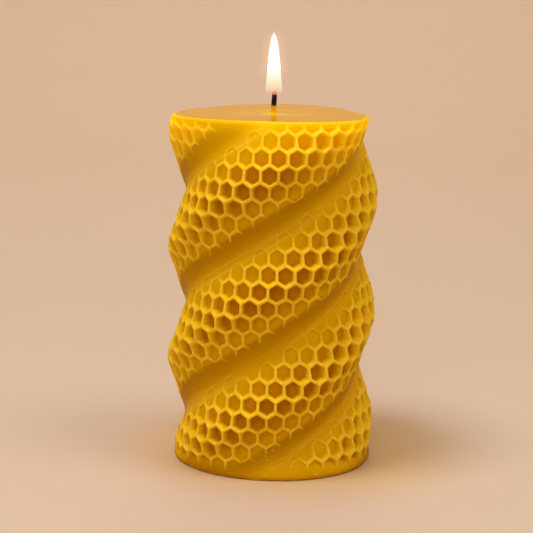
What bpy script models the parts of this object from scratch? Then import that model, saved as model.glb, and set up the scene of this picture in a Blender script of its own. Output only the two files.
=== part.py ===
"""A lit beeswax pillar candle: a twisted three-lobed casting with honeycomb cells sunk into its lobes.

Metres, +Z up. The origin is the centre of the flat base, and -Y is the front.
Every sub-part is one object. Nothing on a candle moves against the rest, so no piece has a joint.
"""

import math

import bmesh
import bpy
from mathutils import Vector

MM = 0.001
GAP = 0.3 * MM  # clear space between pieces that touch on the real candle

# The wax casting
HEIGHT = 104.0 * MM
CREST_RADIUS = 31.2 * MM  # axis to the outside of a lobe
VALLEY_RADIUS = 25.7 * MM  # axis to the bottom of a groove
LOBES = 3
LOBE_SHARPNESS = 0.32 * MM  # third harmonic: it narrows the crests and the grooves alike
TWIST_PITCH = 102.2 * MM  # height of one full turn
FIRST_CREST = math.radians(46.0)  # where a lobe stands at the base, turned from the front
TOP_EDGE = 1.0 * MM  # chamfer round the top
BASE_EDGE = 1.3 * MM  # chamfer round the base

# The foot, where the lobed outline becomes nearly round
FOOT_HEIGHT = 14.0 * MM
FOOT_RADIUS = 29.9 * MM
FOOT_SPREAD = 1.1 * MM  # it stands out this much more towards +X, and this much less towards -X
FOOT_ROUNDNESS = 0.85  # share of the way from lobed to round, at the base

# The honeycomb: upright hexagons in level rings, all sunk to one cylinder
CELLS_AROUND = 37
CELL_PITCH = CREST_RADIUS * math.tau / CELLS_AROUND  # 5.3 mm, as worker bees build
ROW_PITCH = 0.9 * CELL_PITCH
CELL_SIDE = ROW_PITCH / 1.5  # height of an upright wall
ROWS = 22
COLUMN_START = math.radians(-2.1)
CELL_FLOOR_RADIUS = 27.1 * MM
CELL_NARROWING = 0.75 * MM  # from the top of a wall, which is an edge, to its foot
LEAST_DEPTH = 0.5 * MM  # where a cell would be shallower, the casting is smooth

# The hollow that the flame has melted, and the liquid wax in it
DISH_RADIUS = 7.6 * MM
DISH_DEPTH = 0.9 * MM
POOL_BELOW_TOP = 0.12 * MM
POOL_EDGE = 0.1 * MM  # thickness of the pool at its rim
POOL_RADIUS = DISH_RADIUS * math.sqrt(1 - (GAP + POOL_EDGE + POOL_BELOW_TOP) / DISH_DEPTH)
MENISCUS_RISE = 0.9 * MM
MENISCUS_REACH = 1.4 * MM

# The wick: three cotton plies laid together, which run from the base to above the wax
PLIES = 3
PLY_RADIUS = 0.34 * MM
PLY_GAP = 0.2 * MM
PLY_LAY_RADIUS = (2 * PLY_RADIUS + PLY_GAP) / math.sqrt(3)  # wick axis to a ply's own axis
PLY_LAY_PITCH = 18.0 * MM
PLY_POINTS_PER_TURN = 8
WICK_RADIUS = PLY_LAY_RADIUS + PLY_RADIUS
CHANNEL_RADIUS = WICK_RADIUS + GAP
PLIES_END = HEIGHT + 1.7 * MM

# The burnt end of the wick
CHAR_LOW = PLIES_END + 0.15 * MM
CHAR_HIGH = HEIGHT + 5.35 * MM
EMBER_LOW = CHAR_HIGH + 0.15 * MM
EMBER_HIGH = HEIGHT + 6.4 * MM
FLUTE_DEPTH = 0.2  # share of the radius that the furrow between two plies takes
WICK_LEAN = 0.3 * MM  # sideways drift of the tip

# The flame: a hollow mantle of burning vapour round the end of the wick
FLAME_BASE = HEIGHT + 3.0 * MM
FLAME_LENGTH = 21.4 * MM
FLAME_RADIUS = 2.55 * MM
FLAME_ROOT = 0.1  # share of its length that the rounded root takes
FLAME_START = 0.02  # share of its length cut off below, where it is open
FLAME_WALL = 0.4 * MM


def clear_scene():
    for obj in list(bpy.data.objects):
        bpy.data.objects.remove(obj)


def material(name, colour, roughness, emission=0.0):
    made = bpy.data.materials.new(name)
    made.use_nodes = True
    shader = made.node_tree.nodes["Principled BSDF"]
    shader.inputs["Base Color"].default_value = (*colour, 1.0)
    shader.inputs["Roughness"].default_value = roughness
    shader.inputs["Metallic"].default_value = 0.0
    shader.inputs["Emission Color"].default_value = (*colour, 1.0)
    shader.inputs["Emission Strength"].default_value = emission
    return made


def new_object(name, data, finish=None):
    obj = bpy.data.objects.new(name, data)
    bpy.context.scene.collection.objects.link(obj)
    if finish:
        data.materials.append(finish)
    return obj


def object_from(bm, name, finish=None):
    bmesh.ops.recalc_face_normals(bm, faces=bm.faces)
    mesh = bpy.data.meshes.new(name)
    bm.to_mesh(mesh)
    bm.free()
    mesh.shade_smooth()
    mesh.set_sharp_from_angle(angle=math.radians(30))
    return new_object(name, mesh, finish)


def polar(radius, angle, z):
    """A point at this distance from the axis. Angle 0 is the front, and it grows towards +X."""
    return Vector((radius * math.sin(angle), -radius * math.cos(angle), z))


def turned(name, profile, segments, finish=None):
    """A closed outline of (radius, z) points, turned about the Z axis. Points on the axis become poles."""
    bm = bmesh.new()
    verts = [bm.verts.new((radius, 0, z)) for radius, z in profile]
    edges = [bm.edges.new((verts[i - 1], verts[i])) for i in range(len(verts))]
    bmesh.ops.spin(
        bm,
        geom=verts + edges,
        axis=(0, 0, 1),
        cent=(0, 0, 0),
        angle=math.tau,
        steps=segments,
        use_duplicate=False,
    )
    bmesh.ops.remove_doubles(bm, verts=bm.verts, dist=0.001 * MM)
    bmesh.ops.dissolve_degenerate(bm, edges=bm.edges, dist=0.001 * MM)
    on_axis = [edge for edge in bm.edges if not edge.link_faces]
    bmesh.ops.delete(bm, geom=on_axis, context="EDGES")
    return object_from(bm, name, finish)


def cut(target, cutter):
    cutter.hide_render = True
    cutter.display_type = "WIRE"
    boolean = target.modifiers.new(cutter.name, "BOOLEAN")
    boolean.operation = "DIFFERENCE"
    boolean.solver = "EXACT"
    boolean.object = cutter


def lobe_radius(angle, z):
    """The twisted outline, as it would be without the foot."""
    phase = LOBES * (angle - FIRST_CREST - math.tau * z / TWIST_PITCH)
    mean = (CREST_RADIUS + VALLEY_RADIUS) / 2
    swing = (CREST_RADIUS - VALLEY_RADIUS) / 2 - LOBE_SHARPNESS
    return mean + swing * math.cos(phase) + LOBE_SHARPNESS * math.cos(3 * phase)


def wax_radius(angle, z):
    """The outside of the casting, before any cell is sunk into it."""
    rise = min(z / FOOT_HEIGHT, 1.0)
    roundness = FOOT_ROUNDNESS * (1 - rise * rise * (3 - 2 * rise))
    foot = FOOT_RADIUS + FOOT_SPREAD * math.sin(angle)
    return lobe_radius(angle, z) * (1 - roundness) + foot * roundness


def skin_corner(bm, made, half_column, z):
    """The corner that up to three cells share. Two half columns make one cell's width."""
    z = min(max(z, BASE_EDGE), HEIGHT - TOP_EDGE)
    key = (half_column % (2 * CELLS_AROUND), round(z / MM, 3))
    if key not in made:
        angle = COLUMN_START + key[0] * math.pi / CELLS_AROUND
        made[key] = bm.verts.new(polar(wax_radius(angle, z), angle, z))
    return made[key]


def add_skin(bm):
    """Tiles the casting's outside with hexagons. Returns those that are deep enough to sink."""
    made = {}
    deep = []
    upright = ((0, -1), (1, -0.5), (1, 0.5), (0, 1), (-1, 0.5), (-1, -0.5))
    for row in range(ROWS):
        z = CELL_SIDE + row * ROW_PITCH
        for column in range(CELLS_AROUND):
            middle = 2 * column + row % 2
            corners = [skin_corner(bm, made, middle + side, z + up * CELL_SIDE) for side, up in upright]
            face = bm.faces.new(corners)
            angle = COLUMN_START + middle * math.pi / CELLS_AROUND
            if lobe_radius(angle, z) - CELL_FLOOR_RADIUS > LEAST_DEPTH and row < ROWS - 1:
                deep.append(face)
    for column in range(CELLS_AROUND):  # the notches under the lowest row
        feet = [skin_corner(bm, made, 2 * column + side, 0) for side in (0, 2)]
        bm.faces.new((*feet, skin_corner(bm, made, 2 * column + 1, CELL_SIDE / 2)))
    bmesh.ops.recalc_face_normals(bm, faces=bm.faces)
    return deep


def sink_cells(bm, faces):
    """Narrows each of these faces and pushes it in to the floor cylinder, which leaves sloping walls."""
    bmesh.ops.inset_individual(bm, faces=faces, thickness=CELL_NARROWING, use_even_offset=True)
    for face in faces:
        for vert in face.verts:
            vert.co = polar(CELL_FLOOR_RADIUS, math.atan2(vert.co.x, -vert.co.y), vert.co.z)


def close_end(bm, z_skin, z_cap, chamfer):
    """Chamfers the open end of the skin at z_skin and closes it with a flat face at z_cap."""
    rim = [e for e in bm.edges if e.is_boundary and all(abs(v.co.z - z_skin) < GAP for v in e.verts)]
    grown = bmesh.ops.extrude_edge_only(bm, edges=rim)["geom"]
    edge = [e for e in grown if isinstance(e, bmesh.types.BMEdge) and e.is_boundary]
    for vert in {v for e in edge for v in e.verts}:
        across = Vector((vert.co.x, vert.co.y, 0))
        vert.co = across * (1 - chamfer / across.length) + Vector((0, 0, z_cap))
    bmesh.ops.edgeloop_fill(bm, edges=edge)


def dish_floor(radius):
    """Height of the dish's floor: a shallow bowl that runs out to the flat top."""
    return HEIGHT - DISH_DEPTH * (1 - (radius / DISH_RADIUS) ** 2)


def dish_cutter():
    steps = 5
    above = HEIGHT + 2 * MM
    past_rim = DISH_RADIUS * (1 + 1 / steps)
    floor = [(past_rim * i / (steps + 1), dish_floor(past_rim * i / (steps + 1))) for i in range(steps + 2)]
    return turned("melt_dish_cutter", [*floor, (past_rim, above), (0, above)], 32)


def channel_cutter():
    """The hole that the mould's wick leaves through the whole casting."""
    low, high = -2 * MM, HEIGHT + 2 * MM
    profile = [(0, low), (CHANNEL_RADIUS, low), (CHANNEL_RADIUS, high), (0, high)]
    return turned("wick_channel_cutter", profile, 16)


def build_wax_pillar(finish):
    bm = bmesh.new()
    deep = add_skin(bm)
    sink_cells(bm, deep)
    close_end(bm, HEIGHT - TOP_EDGE, HEIGHT, TOP_EDGE)
    close_end(bm, BASE_EDGE, 0, BASE_EDGE)
    pillar = object_from(bm, "wax_pillar", finish)
    cut(pillar, dish_cutter())
    cut(pillar, channel_cutter())


def build_melt_pool(finish):
    """Liquid wax, level in its dish and drawn up round the wick."""
    steps = 4
    surface = HEIGHT - POOL_BELOW_TOP
    shares = [i / steps for i in range(steps + 1)]
    under = [CHANNEL_RADIUS + (POOL_RADIUS - CHANNEL_RADIUS) * share for share in shares]
    floor = [(radius, dish_floor(radius) + GAP) for radius in under]
    climb = [
        (CHANNEL_RADIUS + MENISCUS_REACH * (1 - share), surface + MENISCUS_RISE * share**3)
        for share in shares
    ]
    turned("melt_pool", [*floor, (POOL_RADIUS, surface), *climb], 32, finish)


def lean(z):
    """How far the wick has drifted towards +X at this height. It stands straight in the wax."""
    return WICK_LEAN * max(0.0, (z - HEIGHT) / (EMBER_HIGH - HEIGHT)) ** 2


def build_ply(number, finish):
    """One cotton ply, laid round the others from the base to just above the wax."""
    count = math.ceil((PLIES_END - GAP) / PLY_LAY_PITCH * PLY_POINTS_PER_TURN)
    curve = bpy.data.curves.new(f"wick_ply_{number}", "CURVE")
    curve.dimensions = "3D"
    curve.bevel_depth = PLY_RADIUS
    curve.bevel_resolution = 1
    curve.use_fill_caps = True
    spline = curve.splines.new("POLY")
    spline.points.add(count)
    for i, point in enumerate(spline.points):
        z = GAP + (PLIES_END - GAP) * i / count
        place = polar(PLY_LAY_RADIUS, math.tau * (number / PLIES + z / PLY_LAY_PITCH), z)
        point.co = (place.x + lean(z), place.y, place.z, 1)
    new_object(curve.name, curve, finish)


def build_burnt_stub(name, low, high, finish, widths):
    """Plies burnt into one bar, with a furrow between each two that follows their lay."""
    sides, levels = 18, len(widths) - 1
    bm = bmesh.new()
    rings = []
    for level, width in enumerate(widths):
        z = low + (high - low) * level / levels
        ring = []
        for side in range(sides):
            angle = math.tau * side / sides
            ridge = abs(math.cos(PLIES / 2 * (angle - math.tau * z / PLY_LAY_PITCH)))
            radius = WICK_RADIUS * width * (1 - FLUTE_DEPTH * (1 - ridge))
            ring.append(bm.verts.new(polar(radius, angle, z) + Vector((lean(z), 0, 0))))
        rings.append(ring)
    for lower, upper in zip(rings, rings[1:]):
        for side in range(sides):
            bm.faces.new((lower[side - 1], lower[side], upper[side], upper[side - 1]))
    bm.faces.new(rings[0])
    bm.faces.new(rings[-1])
    object_from(bm, name, finish)


def flame_radius(share):
    """The flame's outline, from its rounded root at 0 to its point at 1."""
    root = math.sqrt(1 - (1 - min(share / FLAME_ROOT, 1)) ** 2)
    return 1.06 * FLAME_RADIUS * (1 - share) ** 0.42 * root


def build_flame(finish):
    """A closed shell, open round the wick below, whose wall is thin all the way up."""
    steps = 12
    shares = [FLAME_START + (1 - FLAME_START) * (1 - (1 - i / steps) ** 1.6) for i in range(steps + 1)]
    outer = [(flame_radius(share), FLAME_BASE + FLAME_LENGTH * share) for share in shares]
    inner = [(radius - FLAME_WALL, z) for radius, z in outer if radius > 2 * FLAME_WALL]
    inner.append((0, inner[-1][1] + FLAME_WALL))
    turned("flame", outer + inner[::-1], 16, finish)


def main():
    clear_scene()
    wax = material("beeswax", (0.80, 0.50, 0.03), 0.42)
    liquid = material("molten_wax", (0.80, 0.48, 0.07), 0.08)
    cotton = material("waxed_cotton", (0.80, 0.52, 0.10), 0.5)
    soot = material("charred_cotton", (0.02, 0.015, 0.012), 0.85)
    glow = material("glowing_ember", (0.90, 0.22, 0.03), 0.7, emission=3.0)
    fire = material("flame_light", (1.0, 0.85, 0.55), 0.5, emission=8.0)
    build_wax_pillar(wax)
    build_melt_pool(liquid)
    for number in range(1, PLIES + 1):
        build_ply(number, cotton)
    build_burnt_stub("wick_charred_end", CHAR_LOW, CHAR_HIGH, soot, (1.0, 1.03, 1.0, 0.95, 0.9, 0.84))
    build_burnt_stub("wick_ember", EMBER_LOW, EMBER_HIGH, glow, (0.84, 0.82, 0.66, 0.35))
    build_flame(fire)


main()
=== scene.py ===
"""A lit beeswax pillar candle: a twisted casting whose lobes carry honeycomb.

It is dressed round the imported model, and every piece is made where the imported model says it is.
Metres, +Z up, -Y at the front.
"""

import math

import bmesh
import bpy
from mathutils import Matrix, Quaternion, Vector, noise


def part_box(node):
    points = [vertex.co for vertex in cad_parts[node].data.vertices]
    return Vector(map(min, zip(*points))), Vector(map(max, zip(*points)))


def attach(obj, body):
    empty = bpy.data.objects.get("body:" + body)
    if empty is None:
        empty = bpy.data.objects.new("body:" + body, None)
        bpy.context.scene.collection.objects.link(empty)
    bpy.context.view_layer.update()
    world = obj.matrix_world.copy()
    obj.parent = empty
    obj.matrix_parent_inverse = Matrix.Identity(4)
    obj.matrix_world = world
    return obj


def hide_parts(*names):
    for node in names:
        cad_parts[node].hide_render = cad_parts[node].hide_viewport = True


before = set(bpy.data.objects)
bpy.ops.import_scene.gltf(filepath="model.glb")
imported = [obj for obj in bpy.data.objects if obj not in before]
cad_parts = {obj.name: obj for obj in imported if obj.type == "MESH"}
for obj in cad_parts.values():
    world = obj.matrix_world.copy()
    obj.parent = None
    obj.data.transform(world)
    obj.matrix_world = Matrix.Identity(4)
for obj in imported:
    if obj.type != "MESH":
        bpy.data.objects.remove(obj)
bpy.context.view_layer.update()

MM = 0.001


def node_box(*names):
    """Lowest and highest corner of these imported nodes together."""
    boxes = [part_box(name) for name in names]
    low = Vector(min(box[0][axis] for box in boxes) for axis in range(3))
    high = Vector(max(box[1][axis] for box in boxes) for axis in range(3))
    return low, high


def between(value, low, high):
    """0 below low and 1 above high, eased between them."""
    share = min(max((value - low) / (high - low), 0), 1)
    return share * share * (3 - 2 * share)


# The casting
WAX_LOW, WAX_HIGH = node_box("wax_pillar")
HEIGHT = WAX_HIGH.z - WAX_LOW.z
CREST_RADIUS = 31.2 * MM
VALLEY_RADIUS = 25.7 * MM
LOBES = 3
LOBE_SHARPNESS = 0.32 * MM  # third harmonic: it narrows crests and grooves alike
TWIST_PITCH = 102.2 * MM
FIRST_CREST = math.radians(46.0)
TOP_EDGE = 1.0 * MM
BASE_EDGE = 1.3 * MM
FLASH = 0.5 * MM  # ragged wax squeezed out round the base
FLASH_LUMPS = 1.7 * MM
# painted highlight: how much paler the rounded rim is painted
RIM_PAINTED_HIGHLIGHT = 0.12
BEND_RINGS = 5  # rings of faces round each rounded edge
TOP_RINGS = 26  # and from there in to the wick

# The foot, where the lobed outline becomes nearly round
FOOT_HEIGHT = 14.0 * MM
FOOT_RADIUS = 29.9 * MM
FOOT_SPREAD = 1.1 * MM  # it stands out this much more towards +X
FOOT_ROUNDNESS = 0.85

# The honeycomb
CELLS_AROUND = 37
CELL_PITCH = CREST_RADIUS * math.tau / CELLS_AROUND
ROW_PITCH = 0.9 * CELL_PITCH
CELL_SIDE = ROW_PITCH / 1.5
ROWS = 23
FIRST_ROW = CELL_SIDE - ROW_PITCH
COLUMN_START = math.radians(-2.1) - math.pi / CELLS_AROUND
CELL_FLOOR_RADIUS = 27.05 * MM
FULL_DEPTH = CREST_RADIUS - CELL_FLOOR_RADIUS
LEAST_DEPTH = 0.3 * MM  # what the outermost cells keep as the band runs out
COMB_SHIFT = 0.1  # the comb sits this much above its lobe's middle, as an angle of the lobes' wave
UNEVENNESS = 0.22 * MM
CORNER_SHARE = 0.86  # how much of each side is straight, before a cell's rounded corner
CELL_STEPS = (  # inset from the middle of the wall, share of the cell's depth
    (0.26 * MM, 0.0),
    (0.42 * MM, 0.08),
    (0.54 * MM, 0.86),
    (0.68 * MM, 0.985),
    (1.10 * MM, 1.0),
)

# The hollow melted round the wick, and the liquid in it
DISH_RADIUS = 7.6 * MM
POOL_RADIUS = 5.15 * MM
POOL_LEVEL = HEIGHT - 0.14 * MM
POOL_DEPTH = 0.6 * MM

# The wick: three plies of six strands round one, laid together
PLIES = 3
PLY_LAY_RADIUS = 0.51 * MM
PLY_LAY_PITCH = 18.0 * MM
STRANDS = 6
STRAND_RADIUS = 0.13 * MM
STRAND_LAY_RADIUS = 0.22 * MM
STRAND_LAY_PITCH = 3.1 * MM
WICK_RADIUS = 0.85 * MM
WICK_LEAN = 0.3 * MM
WICK_ASIDE = -0.2 * MM  # the channel is this far off the middle where the wick leaves the wax

# The flame
FLAME_LOW = HEIGHT + 2.0 * MM
FLAME_WIDEST = HEIGHT + 5.2 * MM
FLAME_TIP = HEIGHT + 24.0 * MM
FLAME_RADIUS = 2.72 * MM
FLAME_DRIFT = -0.012  # how far the flame leans towards +X for each unit of height
FLAME_STEPS = 48
GLOW, VEIL, BODY = 0.0, 0.5, 1.0  # the number that tells a layer of the flame from the others


class Wire:
    """One output socket. Arithmetic on it adds Math nodes to its own tree."""

    def __init__(self, bench, socket):
        self.bench = bench
        self.socket = socket

    def math(self, operation, *others, clamp=False):
        return self.bench.node(
            "ShaderNodeMath",
            {"operation": operation, "use_clamp": clamp},
            dict(enumerate((self, *others))),
        )

    def __add__(self, other):
        return self.math("ADD", other)

    def __radd__(self, other):
        return self.math("ADD", other)

    def __sub__(self, other):
        return self.math("SUBTRACT", other)

    def __rsub__(self, other):
        return self.bench.node("ShaderNodeMath", {"operation": "SUBTRACT"}, {0: other, 1: self})

    def __mul__(self, other):
        return self.math("MULTIPLY", other)

    def __truediv__(self, other):
        return self.math("DIVIDE", other)

    def __rtruediv__(self, other):
        return self.bench.node("ShaderNodeMath", {"operation": "DIVIDE"}, {0: other, 1: self})

    def clamped(self):
        return self.math("ADD", 0.0, clamp=True)

    def ramp(self, low, high):
        """0 below low and 1 above high, eased between them."""
        return self.bench.node(
            "ShaderNodeMapRange",
            {"interpolation_type": "SMOOTHSTEP"},
            {"Value": self, "From Min": low, "From Max": high},
        )


class Bench:
    """Adds nodes to one node tree, for a finish or for a shape."""

    def __init__(self, tree):
        self.tree = tree

    def node(self, kind, settings=None, inputs=None, output=0):
        """One node: its settings, then the values or wires of its sockets. Returns one output."""
        node = self.tree.nodes.new(kind)
        for key, value in (settings or {}).items():
            if key == "stops":
                self.set_stops(node.color_ramp, value)
            else:
                setattr(node, key, value)
        for key, value in (inputs or {}).items():
            if isinstance(value, Wire):
                self.tree.links.new(value.socket, node.inputs[key])
            else:
                node.inputs[key].default_value = value
        return Wire(self, node.outputs[output]) if node.outputs else node

    @staticmethod
    def set_stops(ramp, stops):
        while len(ramp.elements) < len(stops):
            ramp.elements.new(1.0)
        for element, (place, colour) in zip(ramp.elements, stops):
            element.position = place
            element.color = (*colour, 1.0)

    def vector(self, x, y, z):
        return self.node("ShaderNodeCombineXYZ", None, {"X": x, "Y": y, "Z": z})

    def split(self, vector):
        """The X, Y and Z of a vector."""
        first = self.node("ShaderNodeSeparateXYZ", None, {0: vector})
        outputs = first.socket.node.outputs
        return [Wire(self, outputs[axis]) for axis in range(3)]

    def scaled(self, vector, factors):
        """A vector with its X, Y and Z each multiplied by its own factor."""
        return self.node("ShaderNodeVectorMath", {"operation": "MULTIPLY"}, {0: vector, 1: factors})

    def mix(self, share, first, second, blend="MIX"):
        """Two colours mixed by a share from 0 to 1."""
        sockets = {0: share, 6: self.opaque(first), 7: self.opaque(second)}
        return self.node("ShaderNodeMix", {"data_type": "RGBA", "blend_type": blend}, sockets, 2)

    @staticmethod
    def opaque(colour):
        return colour if isinstance(colour, Wire) else (*colour, 1.0)

    def noise(self, place, size, detail=2.0, roughness=0.5, output=0):
        """Soft random blotches of about this size."""
        inputs = {"Vector": place, "Scale": 1 / size, "Detail": detail, "Roughness": roughness}
        return self.node("ShaderNodeTexNoise", None, inputs, output)

    def bump(self, height, strength, distance):
        """Dents and bumps about this deep, for a finish."""
        inputs = {"Strength": strength, "Distance": distance, "Height": height}
        return self.node("ShaderNodeBump", None, inputs)

    def store(self, geometry, name, value, domain):
        """Keeps a value under a name, on each point or on each instance."""
        return self.node(
            "GeometryNodeStoreNamedAttribute",
            {"data_type": "FLOAT", "domain": domain},
            {"Geometry": geometry, "Name": name, "Value": value},
        )


# ---------------------------------------------------------------- finishes


def new_finish(name):
    """A material with a bare Principled shader. Returns it, its bench and its shader node."""
    made = bpy.data.materials.new(name)
    made.use_nodes = True
    return made, Bench(made.node_tree), made.node_tree.nodes["Principled BSDF"]


def connect(bench, shader, **sockets):
    """Sets or links the shader's sockets, whose names are given with _ for each space."""
    for name, value in sockets.items():
        socket = shader.inputs[name.replace("_", " ")]
        if isinstance(value, Wire):
            bench.tree.links.new(value.socket, socket)
        else:
            socket.default_value = (*value, 1.0) if socket.type == "RGBA" else value


def object_place(bench):
    return bench.node("ShaderNodeTexCoord", output=3)


def attribute(bench, name):
    return bench.node("ShaderNodeAttribute", {"attribute_name": name}, output=2)


def beeswax():
    """Cast beeswax, satin with a smooth top. Its walls are painted pale as if light came through the
    thin wax, its cells painted deep amber as shade down inside them, and its sides given a painted glow
    below the rim.
    """
    made, bench, shader = new_finish("beeswax")
    place = object_place(bench)
    x, y, up = bench.split(place)
    wall, pit, top, groove, flank = (
        attribute(bench, name) for name in ("wall", "pit", "top", "groove", "flank")
    )
    # painted shade: the smooth wax is darker on each groove's upper flank, which faces down, and lighter
    # on its lower flank, which faces up
    smooth = bench.mix(flank.ramp(-1.0, 0.5), (0.48, 0.225, 0.0), (0.70, 0.385, 0.0))
    # pale streaks drawn out along each groove, on the lower side of its bottom: partly real streaks in
    # the wax, partly a painted sheen
    along_grooves = bench.vector(groove * 3.0, flank * 5.0, up / (20 * MM))
    streaks_and_sheen = bench.noise(along_grooves, 1.0, 3.0, 0.5).ramp(0.40, 0.75)
    streaks_and_sheen = streaks_and_sheen * groove.ramp(0.45, 0.9) * flank.ramp(-0.25, 0.35)
    smooth = bench.mix(streaks_and_sheen * 0.7, smooth, (0.84, 0.52, 0.06))
    # painted shade: the bottoms of the cells are painted darker the deeper they lie, and shallow cells
    # blend into the smooth wax
    painted_depth_shade = ((0.25, (0.74, 0.42, 0.0)), (0.9, (0.68, 0.32, 0.0)))
    shaded_cells_and_grooves = bench.node("ShaderNodeValToRGB", {"stops": painted_depth_shade}, {"Fac": pit})
    shaded_cells_and_grooves = bench.mix(pit.ramp(0.03, 0.2), smooth, shaded_cells_and_grooves)
    # painted light: the walls are painted paler than the cell bottoms, as if light came through the thin
    # wax, and darker lower down inside a cell as painted shade
    walls = bench.mix(pit.ramp(0.0, 0.9), (0.90, 0.60, 0.02), (0.86, 0.50, 0.0))
    colour = bench.mix(wall, shaded_cells_and_grooves, walls)
    near_wick = 1 - (x * x + y * y).math("SQRT").ramp(5 * MM, 16 * MM)
    smooth_top = bench.mix(near_wick, (0.62, 0.29, 0.0), (0.72, 0.37, 0.0))
    colour = bench.mix(top, colour, smooth_top)
    cloud = bench.noise(place, 9 * MM, 3.0)
    colour = bench.mix(cloud.ramp(0.35, 0.75) * 0.25, colour, (0.62, 0.37, 0.0))
    # pale flecks on the wall edges: partly real chipped wax, partly painted highlights where the light
    # catches the edges
    flecks_and_glints = bench.noise(place, 1.1 * MM, 2.0).ramp(0.62, 0.72)
    flecks_and_glints = flecks_and_glints * wall * (1 - pit.ramp(0.0, 0.08))
    specks = bench.noise(place, 0.5 * MM, 1.0).ramp(0.74, 0.78)
    specks = specks * (1 - up.ramp(8 * MM, 40 * MM)) * (1 - top)
    colour = bench.mix((flecks_and_glints * 0.5 + specks).clamped(), colour, (1.0, 0.80, 0.36))
    grain = bench.noise(place, 0.5 * MM, 3.0, 0.6)
    dents = bench.noise(place, 2.4 * MM, 2.0)
    rough = (grain * 0.5 + dents) * (1 - top * 0.9)
    # painted glow: the wax sides are painted to glow orange up towards the rim, strongest in its last 5
    # mm, as if the flame shone through them
    painted_glow_below_rim = up.ramp(HEIGHT - 18 * MM, HEIGHT + 4 * MM) * 0.65
    painted_glow_below_rim = painted_glow_below_rim + up.ramp(HEIGHT - 5 * MM, HEIGHT) * 0.45
    connect(
        bench,
        shader,
        Base_Color=colour,
        Roughness=0.44 - top * 0.26 + (grain - 0.5) * 0.1,
        Subsurface_Weight=0.25,
        Subsurface_Radius=(1.0, 0.72, 0.12),
        Subsurface_Scale=0.9 * MM,
        Specular_Tint=(1.0, 0.7, 0.2),
        IOR=1.1,
        # the painted glow, on the sides only
        Emission_Color=bench.mix(painted_glow_below_rim * (1 - top), (0.0, 0.0, 0.0), (1.0, 0.56, 0.0)),
        Emission_Strength=0.48,
        Normal=bench.bump(rough, 0.35, 0.15 * MM),
    )
    return made


def molten_wax():
    """Liquid wax: clear amber and mirror smooth."""
    made, bench, shader = new_finish("molten_wax")
    ripple = bench.noise(object_place(bench), 3 * MM, 1.0)
    connect(
        bench,
        shader,
        Base_Color=bench.mix(ripple, (0.70, 0.36, 0.0), (0.78, 0.42, 0.01)),
        Roughness=0.12,
        Subsurface_Weight=0.4,
        Subsurface_Radius=(1.0, 0.5, 0.1),
        Subsurface_Scale=1.5 * MM,
        Specular_Tint=(1.0, 0.75, 0.25),
        IOR=1.12,
        # painted glow: the pool glows faintly amber, as if the flame shone through it
        Emission_Color=(0.9, 0.5, 0.03),
        Emission_Strength=0.1,
        Normal=bench.bump(ripple, 0.1, 0.1 * MM),
    )
    return made


def fibres(bench, size):
    """Blotches drawn out along the wick."""
    drawn_out = bench.scaled(object_place(bench), (1.0, 1.0, 0.12))
    return bench.noise(drawn_out, size, 3.0, 0.6)


def waxed_cotton():
    """Cotton soaked with hot wax, browned where it nears the burnt end."""
    made, bench, shader = new_finish("waxed_cotton")
    fibre = fibres(bench, 0.08 * MM)
    up = bench.split(object_place(bench))[2]
    soaked = bench.mix(fibre.ramp(0.3, 0.7), (0.62, 0.30, 0.01), (0.90, 0.55, 0.06))
    browned = (up + fibre * 1.2 * MM).ramp(HEIGHT + 2.0 * MM, HEIGHT + 2.5 * MM)
    connect(
        bench,
        shader,
        Base_Color=bench.mix(browned, soaked, (0.05, 0.022, 0.006)),
        Roughness=0.3 + fibre * 0.25,
        Subsurface_Weight=0.2,
        Subsurface_Radius=(1.0, 0.5, 0.1),
        Subsurface_Scale=0.4 * MM,
        # painted glow: the soaked cotton below the browned part glows orange, as if the flame shone on
        # it
        Emission_Color=bench.mix(browned, (0.8, 0.40, 0.02), (0.0, 0.0, 0.0)),
        Emission_Strength=0.2,
        Normal=bench.bump(fibre, 0.5, 0.03 * MM),
    )
    return made


def charred_cotton():
    """Soot-black cotton with brown streaks, and wedges of soaked cotton that run up into it."""
    made, bench, shader = new_finish("charred_cotton")
    fibre = fibres(bench, 0.12 * MM)
    up = bench.split(object_place(bench))[2]
    burnt = bench.mix(fibre.ramp(0.45, 0.75), (0.003, 0.002, 0.001), (0.05, 0.022, 0.006))
    soaked = (up - fibre.ramp(0.3, 0.7) * 0.9 * MM).ramp(HEIGHT + 1.8 * MM, HEIGHT + 1.5 * MM)
    connect(
        bench,
        shader,
        Base_Color=bench.mix(soaked, burnt, (0.80, 0.42, 0.01)),
        Roughness=0.85 - soaked * 0.5,
        Specular_IOR_Level=0.15,
        # painted glow: the soaked wedges glow orange like the soaked cotton below
        Emission_Color=bench.mix(soaked, (0.0, 0.0, 0.0), (0.8, 0.40, 0.02)),
        Emission_Strength=0.2,
        Normal=bench.bump(fibre, 0.8, 0.06 * MM),
    )
    return made


def glowing_ember():
    """The tip of the wick, red hot under a thin dark crust."""
    made, bench, shader = new_finish("glowing_ember")
    crust = bench.noise(object_place(bench), 0.35 * MM, 3.0, 0.6)
    connect(
        bench,
        shader,
        Base_Color=bench.mix(crust, (0.03, 0.01, 0.005), (0.25, 0.03, 0.0)),
        Roughness=0.9,
        Emission_Color=bench.mix(crust.ramp(0.35, 0.65), (0.52, 0.08, 0.0), (0.82, 0.27, 0.0)),
        Emission_Strength=0.8,
        Specular_IOR_Level=0.1,
        Normal=bench.bump(crust, 0.7, 0.05 * MM),
    )
    return made


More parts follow.
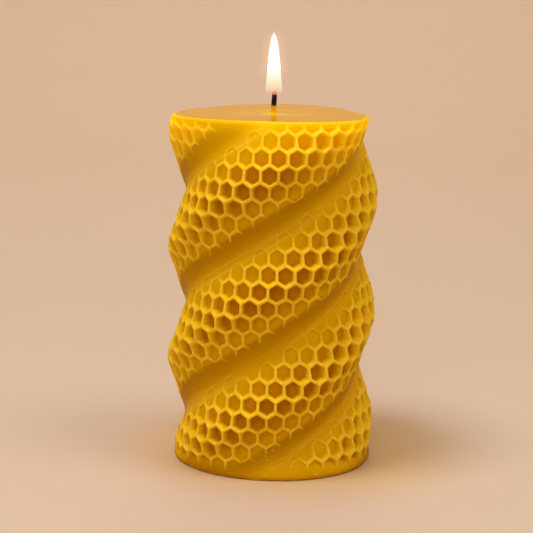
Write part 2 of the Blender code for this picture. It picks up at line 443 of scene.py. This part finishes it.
def flame_light():
    """Burning vapour: an orange glow, a veil that is blue-grey low down, and a body white above.

    A fainter layer is one that covers less.
    """
    made, bench, shader = new_finish("flame_light")
    up = bench.split(object_place(bench))[2] / MM - HEIGHT / MM
    layer = attribute(bench, "layer")
    flicker = bench.noise(object_place(bench), 3 * MM, 1.0)
    share = (up + (flicker - 0.5) * 0.8 - 2.0) / 18.0
    veil_stops = (
        (0.0, (0.10, 0.16, 0.30)),
        (0.16, (0.20, 0.20, 0.25)),
        (0.23, (0.25, 0.19, 0.14)),
        (0.30, (0.25, 0.215, 0.15)),
        (0.39, (0.25, 0.243, 0.185)),
        (0.50, (0.255, 0.255, 0.24)),
    )
    body_stops = (
        (0.17, (0.17, 0.095, 0.07)),
        (0.29, (0.235, 0.12, 0.065)),
        (0.39, (0.24, 0.17, 0.07)),
        (0.49, (0.25, 0.235, 0.15)),
        (0.57, (0.27, 0.27, 0.245)),
        (0.66, (0.50, 0.50, 0.48)),
    )
    veil = bench.node("ShaderNodeValToRGB", {"stops": veil_stops}, {"Fac": share})
    body = bench.node("ShaderNodeValToRGB", {"stops": body_stops}, {"Fac": share})
    colour = bench.mix((layer * 2.0).clamped(), (1.0, 0.56, 0.26), veil)
    colour = bench.mix((layer * 2.0 - 1.0).clamped(), colour, body)
    connect(
        bench,
        shader,
        Base_Color=(0.0, 0.0, 0.0),
        Specular_IOR_Level=0.0,
        Roughness=1.0,
        Emission_Color=colour,
        Emission_Strength=4.0,
        Alpha=attribute(bench, "cover"),
    )
    return made


# ---------------------------------------------------------------- shapes


def new_object(name, mesh):
    obj = bpy.data.objects.new(name, mesh)
    bpy.context.scene.collection.objects.link(obj)
    return obj


def hexagon_ring(inset, corner_share, with_corners):
    """Points round a hexagon with upright sides, inset from the middle of its walls.

    Each side gives two points, this share of the way from its middle to its corners.
    """
    across = CELL_PITCH / 2 - inset
    tall = CELL_SIDE / (CELL_PITCH / math.sqrt(3))
    points = []
    for side in range(6):
        angle = side * math.pi / 3
        middle = Vector((math.cos(angle), math.sin(angle))) * across
        along = Vector((-math.sin(angle), math.cos(angle))) * across / math.sqrt(3)
        points += [middle - along * corner_share, middle + along * corner_share]
        if with_corners:
            points.append(middle + along)
    return [Vector((point.x, point.y * tall, 0)) for point in points]


def make_cell():
    """One cell, laid flat: half a wall all round, and the pocket inside, whose depth is a mark on it."""
    bm = bmesh.new()
    sink = bm.verts.layers.float.new("sink")
    border = [bm.verts.new(point) for point in hexagon_ring(0, CORNER_SHARE, True)]
    rings = []
    for inset, depth in CELL_STEPS:
        ring = [bm.verts.new(point) for point in hexagon_ring(inset, CORNER_SHARE, False)]
        for vert in ring:
            vert[sink] = depth
        rings.append(ring)
    for side in range(6):
        low, high = border[3 * side], border[3 * side + 1]
        corner, after = border[3 * side + 2], border[(3 * side + 3) % len(border)]
        inner = [rings[0][(2 * side + step) % len(rings[0])] for step in range(3)]
        bm.faces.new((low, high, inner[1], inner[0]))
        bm.faces.new((high, corner, after, inner[2], inner[1]))
    for outer, inner in zip(rings, rings[1:]):
        for i in range(len(outer)):
            j = (i + 1) % len(outer)
            bm.faces.new((outer[i], outer[j], inner[j], inner[i]))
    middle = bm.verts.new((0, 0, 0))
    middle[sink] = 1.0
    last = rings[-1]
    for i in range(len(last)):
        bm.faces.new((last[i], last[(i + 1) % len(last)], middle))
    mesh = bpy.data.meshes.new("cell")
    bm.to_mesh(mesh)
    bm.free()
    return new_object("cell", mesh)


def shape_tree(name, inputs):
    """A Geometry Nodes tree with these named inputs. Returns its bench and a wire for each input."""
    tree = bpy.data.node_groups.new(name, "GeometryNodeTree")
    tree.interface.new_socket("Geometry", in_out="OUTPUT", socket_type="NodeSocketGeometry")
    kinds = {
        float: "NodeSocketFloat",
        int: "NodeSocketInt",
        bpy.types.Object: "NodeSocketObject",
        bpy.types.Material: "NodeSocketMaterial",
    }
    for label, value in inputs.items():
        tree.interface.new_socket(label, in_out="INPUT", socket_type=kinds[type(value)])
    bench = Bench(tree)
    given = tree.nodes.new("NodeGroupInput")
    return bench, {label: Wire(bench, given.outputs[label]) for label in inputs}


def run_tree(name, bench, inputs, result, material):
    """Ends the tree, runs it once with its inputs set, and returns the plain mesh it makes."""
    whole = bench.node("GeometryNodeRealizeInstances", None, {0: result})
    whole = bench.node("GeometryNodeSetMaterial", None, {"Geometry": whole, "Material": material})
    bench.node("NodeGroupOutput", None, {0: whole})
    holder = new_object(name, bpy.data.meshes.new(name + "_holder"))
    modifier = holder.modifiers.new(name, "NODES")
    modifier.node_group = bench.tree
    for item in bench.tree.interface.items_tree:
        if item.in_out == "INPUT":
            modifier[item.identifier] = inputs[item.name]
    depsgraph = bpy.context.evaluated_depsgraph_get()
    mesh = bpy.data.meshes.new_from_object(holder.evaluated_get(depsgraph))
    bpy.data.objects.remove(holder)
    mesh.name = name
    return mesh


def comb_sheet(material):
    """The casting's outside: cells in rows, wrapped round the axis and pressed into the lobes."""
    cell = make_cell()
    inputs = {
        "Cell": cell,
        "Cells Around": CELLS_AROUND,
        "Rows": ROWS,
        "Cell Pitch": CELL_PITCH,
        "Row Pitch": ROW_PITCH,
        "First Row": FIRST_ROW,
        "Column Start": COLUMN_START,
        "Crest Radius": CREST_RADIUS,
        "Valley Radius": VALLEY_RADIUS,
        "Sharpness": LOBE_SHARPNESS,
        "Twist Pitch": TWIST_PITCH,
        "First Crest": FIRST_CREST,
        "Foot Radius": FOOT_RADIUS,
        "Foot Height": FOOT_HEIGHT,
        "Foot Roundness": FOOT_ROUNDNESS,
        "Foot Spread": FOOT_SPREAD,
        "Floor Radius": CELL_FLOOR_RADIUS,
        "Least Depth": LEAST_DEPTH,
        "Height": HEIGHT,
        "Unevenness": UNEVENNESS,
        "Seed": 7,
        "Material": material,
    }
    bench, given = shape_tree("comb_sheet", inputs)
    index = bench.node("GeometryNodeInputIndex")
    row = (index / given["Cells Around"]).math("FLOOR")
    column = index - row * given["Cells Around"]
    odd = row.math("MODULO", 2.0)
    middle_along = (column + odd * 0.5) * given["Cell Pitch"]
    middle_height = row * given["Row Pitch"] + given["First Row"]
    place = bench.vector(middle_along, middle_height, 0.0)
    turn = math.tau / (given["Cells Around"] * given["Cell Pitch"])

    def phase_of(angle, height):
        """The lobes' own wave: a whole turn from one crest to the next."""
        twist = height * math.tau / given["Twist Pitch"]
        return (angle - given["First Crest"] - twist) * float(LOBES)

    def lobed(angle, height, shift=0.0):
        """The radius of the twisted outline. shift turns the lobes on a little."""
        phase = phase_of(angle, height) + shift
        swing = (given["Crest Radius"] - given["Valley Radius"]) * 0.5 - given["Sharpness"]
        mean = (given["Crest Radius"] + given["Valley Radius"]) * 0.5
        narrowing = given["Sharpness"] * (phase * 3.0).math("COSINE")
        return mean + swing * phase.math("COSINE") + narrowing

    middle_angle = middle_along * turn + given["Column Start"]
    middle_depth = lobed(middle_angle, middle_height, COMB_SHIFT) - given["Floor Radius"]
    upper_side = phase_of(middle_angle, middle_height).math("SINE") * -1.0
    kept = 0.25 + upper_side.ramp(-0.4, 0.2) * 0.75
    least = middle_depth.ramp(-0.6 * MM, -0.2 * MM) * given["Least Depth"] * kept
    count = given["Cells Around"] * given["Rows"]
    points = bench.node("GeometryNodePoints", None, {"Count": count, "Position": place})
    tile = bench.node("GeometryNodeObjectInfo", None, {"Object": given["Cell"]}, "Geometry")
    cells = bench.node("GeometryNodeInstanceOnPoints", None, {"Points": points, "Instance": tile})
    seed = {"Seed": given["Seed"]}
    chance = bench.node("FunctionNodeRandomValue", {"data_type": "FLOAT"}, seed, output=1)
    for name, value in {"chance": chance, "least": least}.items():
        cells = bench.store(cells, name, value, "INSTANCE")
    sheet = bench.node("GeometryNodeRealizeInstances", None, {0: cells})

    # The flat sheet's x is the way round, and its y the height
    along, up, _ = bench.split(bench.node("GeometryNodeInputPosition"))
    angle = along * turn + given["Column Start"]
    crest = given["Crest Radius"]
    unsettled = bench.vector(angle.math("SINE") * crest, angle.math("COSINE") * crest, up)
    drift_x, drift_y, swell = bench.split(bench.noise(unsettled, 7 * MM, 1.0, output=1))
    angle = angle + (drift_x - 0.5) * given["Unevenness"] * 2.0 / crest
    height = up + (drift_y - 0.5) * given["Unevenness"] * 2.0
    lobes = lobed(angle, height) + (swell - 0.5) * given["Unevenness"]
    roundness = (1 - height.ramp(0.0, given["Foot Height"])) * given["Foot Roundness"]
    foot = given["Foot Radius"] + angle.math("SINE") * given["Foot Spread"]
    skin = lobes + (foot - lobes) * roundness
    below_top = given["Height"] - height
    fade = height.ramp(1.6 * MM, 6.5 * MM) * below_top.ramp(0.95 * MM, 3.0 * MM)
    chance, sink, least = (
        bench.node("GeometryNodeInputNamedAttribute", {"data_type": "FLOAT"}, {"Name": name})
        for name in ("chance", "sink", "least")
    )
    depth = lobed(angle, height, COMB_SHIFT) - given["Floor Radius"]
    depth = depth.math("MAXIMUM", least) * fade
    radius = skin - depth * sink * (0.94 + chance * 0.08)
    x, y = angle.math("SINE") * radius, angle.math("COSINE") * radius * -1.0
    phase = phase_of(angle, height)
    share = depth.ramp(0.2 * MM, 1.4 * MM) * 0.7
    marks = {
        "groove": phase.math("COSINE") * -1.0,
        "flank": phase.math("SINE") * -1.0,
        "wall": (1 - sink.ramp(share, share + 0.3)) * depth.ramp(0.05 * MM, 0.6 * MM),
        "pit": sink * depth / FULL_DEPTH,
    }
    for name, value in marks.items():
        sheet = bench.store(sheet, name, value, "POINT")
    wrapped = {"Geometry": sheet, "Position": bench.vector(x, y, height)}
    sheet = bench.node("GeometryNodeSetPosition", None, wrapped)
    seams = {"Geometry": sheet, "Distance": 0.01 * MM}
    sheet = bench.node("GeometryNodeMergeByDistance", None, seams)
    sheet = bench.node("GeometryNodeSetShadeSmooth", None, {0: sheet})
    mesh = run_tree("wax_casting", bench, inputs, sheet, given["Material"])
    bpy.data.objects.remove(cell)
    return mesh


def ring_edges(bm, z):
    """The open edge of the sheet at this height."""
    open_edges = [edge for edge in bm.edges if edge.is_boundary]
    return [edge for edge in open_edges if all(abs(v.co.z - z) < 0.01 * MM for v in edge.verts)]


def grow_ring(bm, edges, move):
    """One more ring of faces from an open edge. move gives a new radius and height for an old radius."""
    grown = bmesh.ops.extrude_edge_only(bm, edges=edges)["geom"]
    edge = [e for e in grown if isinstance(e, bmesh.types.BMEdge) and e.is_boundary]
    for vert in {v for e in edge for v in e.verts}:
        across = Vector((vert.co.x, vert.co.y, 0))
        radius, z = move(across.length)
        vert.co = across.normalized() * radius + Vector((0, 0, z))
    return edge


def dish_floor(radius):
    """The top of the casting: flat, then a soft edge down to the pool, and a bowl under it."""
    lip = between(DISH_RADIUS - radius, 0, DISH_RADIUS - POOL_RADIUS)
    bowl = max(1 - (radius / POOL_RADIUS) ** 2, 0)
    return HEIGHT - (HEIGHT - POOL_LEVEL + 0.02 * MM) * lip - POOL_DEPTH * bowl


def close_end(bm, skin_z, end_z, floor):
    """Rounds one end of the sheet over and runs it in to the wick. floor gives a height for a radius."""
    bend = abs(end_z - skin_z)
    rough = {v for e in ring_edges(bm, skin_z) for v in e.verts}
    bmesh.ops.remove_doubles(bm, verts=list(rough), dist=0.12 * MM)
    edge = ring_edges(bm, skin_z)
    for ring in range(1, BEND_RINGS + 1):
        before, after = (math.radians(90 * step / BEND_RINGS) for step in (ring - 1, ring))
        inward = bend * (math.cos(before) - math.cos(after))
        z = skin_z + (end_z - skin_z) * math.sin(after)
        edge = grow_ring(bm, edge, lambda radius: (radius - inward, z))
    for left in range(TOP_RINGS - 1, -1, -1):

        def run_in(radius):
            nearer = WICK_RADIUS + (radius - WICK_RADIUS) * left / (left + 1)
            return nearer, floor(nearer)

        edge = grow_ring(bm, edge, run_in)
    return edge


def mark_ends(bm):
    """The smooth top gets its own finish, the rim a painted highlight, and the base a ragged edge."""
    bm.verts.layers.float.new("top")
    wall, pit, top = (bm.verts.layers.float[name] for name in ("wall", "pit", "top"))
    inner = 2 * DISH_RADIUS
    for vert in bm.verts:
        across = math.hypot(vert.co.x, vert.co.y)
        if vert.co.z > HEIGHT - 0.99 * TOP_EDGE:
            flat = vert.co.z > HEIGHT - 0.02 * MM or across < inner
            vert[pit] = 0.0
            # the rounded rim is painted paler, as a highlight
            vert[wall] = 0.0 if flat else RIM_PAINTED_HIGHLIGHT
            vert[top] = 1.0 if flat else 0.0
        elif vert.co.z < 0.3 * MM and across > inner:
            lump = max(noise.noise(vert.co / FLASH_LUMPS), 0)
            vert[wall] = 0.5 + lump
            vert.co.x *= 1 + lump * FLASH / across
            vert.co.y *= 1 + lump * FLASH / across


def make_wax_casting(material):
    mesh = comb_sheet(material)
    bm = bmesh.new()
    bm.from_mesh(mesh)
    for z, side in ((HEIGHT - TOP_EDGE, 1), (BASE_EDGE, -1)):
        bmesh.ops.bisect_plane(
            bm,
            geom=bm.verts[:] + bm.edges[:] + bm.faces[:],
            dist=0.001 * MM,
            plane_co=(0, 0, z),
            plane_no=(0, 0, side),
            clear_outer=True,
        )
    top = close_end(bm, HEIGHT - TOP_EDGE, HEIGHT, dish_floor)
    base = close_end(bm, BASE_EDGE, 0, lambda radius: 0)
    bmesh.ops.bridge_loops(bm, edges=top + base)
    bmesh.ops.recalc_face_normals(bm, faces=bm.faces)
    mark_ends(bm)
    bm.to_mesh(mesh)
    bm.free()
    mesh.shade_smooth()
    dress(new_object("wax_casting", mesh), "beeswax", "wax_pillar")


def dress(obj, slot, *nodes):
    """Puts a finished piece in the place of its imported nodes."""
    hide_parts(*nodes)
    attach(obj, "root")


def spin_outline(bm, profile, segments):
    """Turns an outline of (radius, z) points about the axis. A point on the axis becomes a pole."""
    verts = [bm.verts.new((radius, 0, z)) for radius, z in profile]
    edges = [bm.edges.new(pair) for pair in zip(verts, verts[1:])]
    bmesh.ops.spin(
        bm,
        geom=verts + edges,
        axis=(0, 0, 1),
        cent=(0, 0, 0),
        angle=math.tau,
        steps=segments,
        use_duplicate=False,
    )


def mesh_from(bm, name, material):
    bmesh.ops.remove_doubles(bm, verts=bm.verts, dist=0.002 * MM)
    bmesh.ops.recalc_face_normals(bm, faces=bm.faces)
    mesh = bpy.data.meshes.new(name)
    bm.to_mesh(mesh)
    bm.free()
    mesh.shade_smooth()
    mesh.set_sharp_from_angle(angle=math.radians(45))
    mesh.materials.append(material)
    return new_object(name, mesh)


def make_pool(material):
    """Liquid wax, level in its hollow and drawn up round the wick."""
    rise, reach, foot = 1.35 * MM, 1.35 * MM, WICK_RADIUS - 0.1 * MM
    steps = 14
    shares = [step / steps for step in range(steps + 1)]
    climb = [(foot + reach * share**1.5, POOL_LEVEL + rise * (1 - share) ** 2.6) for share in shares]
    flat = POOL_RADIUS - foot - reach
    level = [(POOL_RADIUS - flat * (1 - share), POOL_LEVEL) for share in shares[3::3]]
    edge = [(POOL_RADIUS + 0.06 * MM, POOL_LEVEL - 0.04 * MM)]
    inward = (POOL_RADIUS * 0.9, POOL_RADIUS * 0.5, foot)
    under = [(radius, dish_floor(radius) - 0.01 * MM) for radius in inward]
    bm = bmesh.new()
    spin_outline(bm, [*climb, *level, *edge, *under, climb[0]], 96)
    for vert in bm.verts:
        across = math.hypot(vert.co.x, vert.co.y)
        vert.co.x += WICK_ASIDE * (1 - between(across, foot, POOL_RADIUS * 0.8))
    dress(mesh_from(bm, "liquid_pool", material), "molten_wax", "melt_pool")


def ply_strands(number, material):
    """One ply: strands laid round its own axis, which is laid round the wick's."""
    low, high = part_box(f"wick_ply_{number}")
    inputs = {
        "Low": low[2],
        "High": high[2] + 0.25 * MM,
        "Steps": 260,
        "Strands": STRANDS,
        "Strand Radius": STRAND_RADIUS,
        "Strand Lay Radius": STRAND_LAY_RADIUS,
        "Strand Lay Pitch": STRAND_LAY_PITCH,
        "Ply Share": number / PLIES,
        "Ply Lay Radius": PLY_LAY_RADIUS,
        "Ply Lay Pitch": PLY_LAY_PITCH,
        "Wax Top": HEIGHT,
        "Aside": WICK_ASIDE,
        "Material": material,
    }
    bench, given = shape_tree(f"ply_{number}", inputs)
    line = bench.node("GeometryNodeCurvePrimitiveLine", {"mode": "POINTS"}, {"End": (0.0, 0.0, 1.0)})
    line = bench.node("GeometryNodeResampleCurve", None, {"Curve": line, "Count": given["Steps"]})
    copies = {0: line, "Amount": given["Strands"]}
    lines = bench.node("GeometryNodeDuplicateElements", {"domain": "SPLINE"}, copies)
    which = Wire(bench, lines.socket.node.outputs["Duplicate Index"])
    along = bench.node("GeometryNodeSplineParameter")
    height = given["Low"] + (given["High"] - given["Low"]) * along
    ply = (given["Ply Share"] + height / given["Ply Lay Pitch"]) * math.tau
    strand = (which / given["Strands"] - height / given["Strand Lay Pitch"]) * math.tau
    x, y = (
        ply.math(wave) * given["Ply Lay Radius"] + strand.math(wave) * given["Strand Lay Radius"]
        for wave in ("SINE", "COSINE")
    )
    x = x + given["Aside"] * ((height - given["Wax Top"]) / (12 * MM) + 1).clamped()
    laid = {"Geometry": lines, "Position": bench.vector(x, y * -1.0, height)}
    lines = bench.node("GeometryNodeSetPosition", None, laid)
    circle = {"Resolution": 6, "Radius": given["Strand Radius"]}
    ring = bench.node("GeometryNodeCurvePrimitiveCircle", None, circle)
    sweep = {"Curve": lines, "Profile Curve": ring, "Fill Caps": True}
    tubes = bench.node("GeometryNodeCurveToMesh", None, sweep)
    tubes = bench.node("GeometryNodeSetShadeSmooth", None, {0: tubes})
    return run_tree(f"ply_strands_{number}", bench, inputs, tubes, given["Material"])


def make_plies(material):
    for number in range(1, PLIES + 1):
        mesh = ply_strands(number, material)
        dress(new_object(f"ply_strands_{number}", mesh), "waxed_cotton", f"wick_ply_{number}")


def burnt_bar(name, low, high, width, narrowing, dome, material):
    """Plies burnt into one bar with a domed top, furrowed between plies and between strands."""
    inputs = {
        "Low": low,
        "High": high,
        "Width": width,
        "Narrowing": narrowing,
        "Dome": dome,
        "Wick Foot": HEIGHT,
        "Lean": WICK_LEAN,
        "Aside": WICK_ASIDE,
        "Ply Lay Pitch": PLY_LAY_PITCH,
        "Material": material,
    }
    bench, given = shape_tree(name, inputs)
    bar = bench.node(
        "GeometryNodeMeshCylinder",
        {"fill_type": "TRIANGLE_FAN"},
        {"Vertices": 72, "Side Segments": 48, "Fill Segments": 5, "Radius": 1.0, "Depth": 1.0},
    )
    x, y, share = bench.split(bench.node("GeometryNodeInputPosition"))
    share = share + 0.5
    out = (x * x + y * y).math("SQRT")
    angle = y.math("ARCTAN2", x)
    height = given["Low"] + (given["High"] - given["Low"]) * share
    lay = angle - height * math.tau / given["Ply Lay Pitch"]
    plies = (lay * 1.5).math("COSINE").math("ABSOLUTE")
    strands = (angle * 9.0 + height * math.tau / (1.1 * MM)).math("COSINE")
    crumble = bench.noise(bench.vector(x * 3.0, y * 3.0, height / (0.45 * MM)), 1.0, 3.0)
    furrows = 0.82 + plies * 0.16 + strands * 0.03
    radius = given["Width"] * (1 - share * given["Narrowing"]) * furrows
    radius = radius * (1 + (crumble - 0.5) * 0.22) * out
    rounding = (1 - out * out) * given["Dome"] * share.ramp(0.6, 1.0)
    radius = radius * (1 - share.ramp(0.75, 1.0) * given["Dome"] / (1.2 * MM))
    lean = ((height - given["Wick Foot"]) / (6.4 * MM)).math("POWER", 2.0) * given["Lean"]
    x = angle.math("COSINE") * radius + (lean + given["Aside"])
    place = bench.vector(x, angle.math("SINE") * radius, height + rounding)
    bar = bench.node("GeometryNodeSetPosition", None, {"Geometry": bar, "Position": place})
    bar = bench.node("GeometryNodeSetShadeSmooth", None, {0: bar})
    return new_object(name, run_tree(name, bench, inputs, bar, given["Material"]))


def make_burnt_end(soot, glow):
    low, high = (corner[2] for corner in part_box("wick_charred_end"))
    bar = burnt_bar("charred_bar", low - 0.5 * MM, high + 0.1 * MM, 0.86 * MM, 0.14, 0.0, soot)
    dress(bar, "charred_cotton", "wick_charred_end")
    low, high = (corner[2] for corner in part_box("wick_ember"))
    tip = burnt_bar("ember_tip", low, high - 0.25 * MM, 0.78 * MM, 0.2, 0.35 * MM, glow)
    dress(tip, "glowing_ember", "wick_ember")


def flame_width(z):
    """The flame's radius at a height: rounded below, nearly straight above, and drawn to a point."""
    if z < FLAME_WIDEST:
        down = (FLAME_WIDEST - z) / (FLAME_WIDEST - FLAME_LOW)
        return FLAME_RADIUS * (1 - 0.3 * down**2.2)
    share = (FLAME_TIP - z) / (FLAME_TIP - FLAME_WIDEST)
    return FLAME_RADIUS * share**0.5 * min(1, share * 9) ** 0.3


def make_flame(material):
    """Nested layers: three faint ones for the glow, a veil round the foot of the flame, and the body."""

    def up(z):
        return (z - HEIGHT) / MM

    def veil_cover(z):
        return 0.004 + 0.5 * between(up(z), 4.4, 7.8) ** 2.2 * (1 - between(up(z), 9.5, 13))

    def glow_cover(z):
        return 0.0075 * between(up(z), 8.5, 13) * (1 - between(up(z), 21, 25))

    # Millimetres above the wax, low and high. Then how far outside the flame's width below and above,
    # the layer's number, and its cover at a height
    layers = (
        (8.5, 25.6, 2.1, 2.1, GLOW, glow_cover),
        (9.5, 25.0, 1.2, 1.2, GLOW, glow_cover),
        (13.5, 24.5, 0.45, 0.45, GLOW, lambda z: glow_cover(z) * between(up(z), 13.5, 17)),
        (2.0, 13.4, -0.15, -0.12, VEIL, veil_cover),
        (5.6, 23.6, -0.45, -0.16, BODY, lambda z: between(up(z), 5.6, 7.6)),
    )
    bm = bmesh.new()
    for name in ("layer", "cover"):
        bm.verts.layers.float.new(name)
    which, covering = (bm.verts.layers.float[name] for name in ("layer", "cover"))
    for low, high, outside_below, outside_above, number, cover in layers:
        start = len(bm.verts)
        outline = []
        for step in range(FLAME_STEPS + 1):
            share = 1 - (1 - step / FLAME_STEPS) ** 1.5
            z = HEIGHT + (low + (high - low) * share) * MM
            left = 1 if number == VEIL else (1 - share) * 12  # the veil stays open above
            closing = min(1, left, step / FLAME_STEPS * 12) ** 0.5
            outside = outside_below + (outside_above - outside_below) * between(up(z), 8, 13)
            outline.append((max(flame_width(min(z, FLAME_TIP)) + outside * MM, 0) * closing, z))
        spin_outline(bm, outline, 64)
        bm.verts.ensure_lookup_table()
        for vert in bm.verts[start:]:
            vert[which] = number
            vert[covering] = cover(vert.co.z)
            vert.co.x += WICK_ASIDE + 0.1 * MM + FLAME_DRIFT * (vert.co.z - HEIGHT)
    dress(mesh_from(bm, "flame_layers", material), "flame_light", "flame")


def make_stage():
    """A seamless sweep of pale paper all round, with a painted warm shadow round the candle's foot, and
    painted shade that darkens the paper except towards the back.
    """
    radius, bend, wall = 0.75, 0.35, 1.1
    arc = [math.radians(10 * i) for i in range(10)]
    profile = [(0.0, 0.0), (0.2, 0.0), (0.5, 0.0), (radius, 0.0)]
    profile += [(radius + bend * math.sin(a), bend * (1 - math.cos(a))) for a in arc[1:]]
    profile.append((radius + bend, wall))
    made, bench, shader = new_finish("paper")
    x, y, _ = bench.split(object_place(bench))
    x, y = x - 8 * MM, y - 6 * MM  # the middle of the painted warm shadow round the foot
    painted_warm_shadow = 1 - (x * x + y * y).math("SQRT").ramp(26 * MM, 64 * MM)
    grain = bench.noise(object_place(bench), 1.2 * MM, 3.0, 0.7)
    plain = bench.mix(grain, (0.70, 0.525, 0.38), (0.74, 0.56, 0.41))
    # painted shade: the paper is about a tenth darker short of 120 mm behind the axis, and full bright
    # past 600 mm
    shade = bench.mix(y.ramp(120 * MM, 600 * MM), (0.905, 0.905, 0.905), (1.0, 1.0, 1.0))
    plain = bench.mix(1.0, plain, shade, "MULTIPLY")
    # painted warm shadow: the paper is darker and warmer round the candle's foot
    colour = bench.mix(painted_warm_shadow * 0.75, plain, (0.61, 0.38, 0.12))
    connect(bench, shader, Base_Color=colour, Roughness=0.85)
    bm = bmesh.new()
    spin_outline(bm, profile, 96)
    mesh_from(bm, "sweep", made)


def make_light(name, place, aim, size, power, colour):
    data = bpy.data.lights.new(name, "AREA")
    data.shape = "DISK"
    data.size = size
    data.energy = power
    data.color = colour
    lamp = bpy.data.objects.new(name, data)
    lamp.location = place
    lamp.rotation_euler = (Vector(place) - Vector(aim)).to_track_quat("Z", "Y").to_euler()
    bpy.context.scene.collection.objects.link(lamp)


def make_lights():
    middle = (0, 0, HEIGHT / 2)
    make_light("key", (-0.28, -0.17, 0.90), middle, 0.33, 4.0, (1.0, 0.98, 0.96))
    make_light("right", (0.38, -0.20, 0.85), middle, 0.4, 1.9, (1.0, 0.99, 0.98))
    make_light("front", (-0.12, -0.75, 0.60), middle, 0.5, 1.5, (1.0, 0.99, 0.98))
    make_light("backdrop", (0.0, 0.95, 0.85), (0, 0.95, 0), 0.6, 2.75, (1.0, 0.98, 0.95))
    world = bpy.data.worlds.new("room")
    world.use_nodes = True
    background = world.node_tree.nodes["Background"]
    background.inputs["Color"].default_value = (1.0, 0.97, 0.93, 1.0)
    background.inputs["Strength"].default_value = 0.36
    bpy.context.scene.world = world


def make_camera():
    data = bpy.data.cameras.new("camera")
    data.sensor_width = 36.0
    data.lens = 113.8
    camera = bpy.data.objects.new("camera", data)
    aim = Vector((-1.64, 0, 57.84)) * MM
    tilt, distance = math.radians(10.69), 506.0 * MM
    roll = Quaternion((0, 0, 1), math.radians(0.8))
    back = Vector((0, -math.cos(tilt), math.sin(tilt)))
    camera.location = aim + back * distance
    camera.rotation_mode = "QUATERNION"
    camera.rotation_quaternion = back.to_track_quat("Z", "Y") @ roll
    bpy.context.scene.collection.objects.link(camera)
    bpy.context.scene.camera = camera


def main():
    bpy.context.scene.view_settings.view_transform = "Standard"
    make_camera()
    make_stage()
    make_lights()
    make_wax_casting(beeswax())
    make_pool(molten_wax())
    make_plies(waxed_cotton())
    make_burnt_end(charred_cotton(), glowing_ember())
    make_flame(flame_light())


main()
